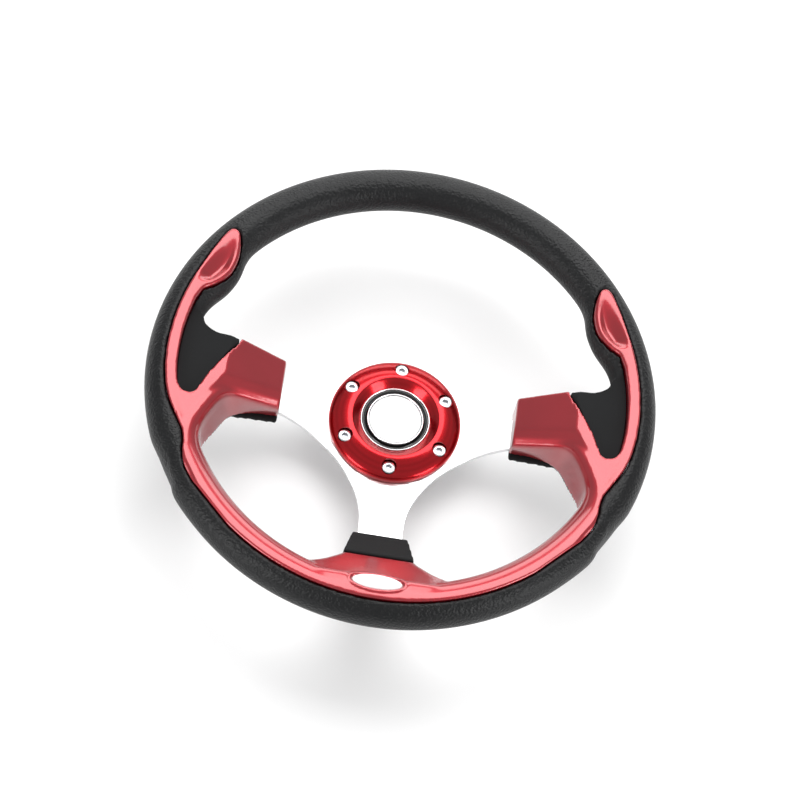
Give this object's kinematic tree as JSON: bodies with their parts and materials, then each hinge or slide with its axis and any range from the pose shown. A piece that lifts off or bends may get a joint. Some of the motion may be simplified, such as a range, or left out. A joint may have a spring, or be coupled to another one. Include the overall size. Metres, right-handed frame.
{
  "type": "steering wheel",
  "caption": "Three-spoke dished sport steering wheel with a foam rim, a coloured trim moulding, a bolt-on hub with a clamp ring and a sprung horn button.",
  "frame": {"origin": "centre of the hub's rear face, which seats on the steering boss", "axes": "+Z along the steering axis towards the driver, +Y to 12 o'clock, +X to 3 o'clock"},
  "size_m": [0.32, 0.32, 0.0863],
  "materials": {
    "bare_aluminium": "satin",
    "steel": "plain",
    "zinc_steel": "bright zinc",
    "black_foam": "fine leather grain",
    "candy_red": "metallic clear-coated",
    "anodised_red": "gloss metallic",
    "gloss_black": "gloss",
    "dark_plastic": "satin",
    "gloss_white": "gloss",
    "bright_chrome": "polished",
    "contact_brass": "plain"
  },
  "bodies": {
    "wheel": {"spoke_frame": "bare_aluminium", "rim_core": "steel", "rim_grip": "black_foam", "trim_inlay": "candy_red", "oval_badge": "gloss_white", "hub_ring": "anodised_red", "hub_screw_1": "zinc_steel", "hub_screw_2": "zinc_steel", "hub_screw_3": "zinc_steel", "hub_screw_4": "zinc_steel", "hub_screw_5": "zinc_steel", "hub_screw_6": "zinc_steel", "spoke_rivet_right_1": "steel", "spoke_rivet_right_2": "steel", "spoke_rivet_left_1": "steel", "spoke_rivet_left_2": "steel", "spoke_rivet_lower_1": "steel", "spoke_rivet_lower_2": "steel", "cover_screw_right_1": "steel", "cover_screw_right_2": "steel", "cover_screw_left_1": "steel", "cover_screw_left_2": "steel", "horn_housing": "gloss_black", "horn_bezel": "bright_chrome", "horn_contact_lower": "contact_brass", "horn_spring": "steel", "horn_base": "dark_plastic", "horn_snap_ring": "steel", "horn_terminal_signal": "contact_brass", "horn_terminal_ground": "contact_brass"},
    "horn_button": {"horn_cap": "gloss_white", "horn_cap_ring": "bright_chrome", "horn_plunger": "dark_plastic", "horn_contact_upper": "contact_brass"}
  },
  "joints": [
    {"name": "horn_press", "type": "slide", "parent": "wheel", "child": "horn_button", "axis": [0, 0, 1], "range_m": [-0.002, 0], "stiffness_N_per_m": 1500, "springref_m": 0.003, "deforming": ["horn_spring"]}
  ]
}
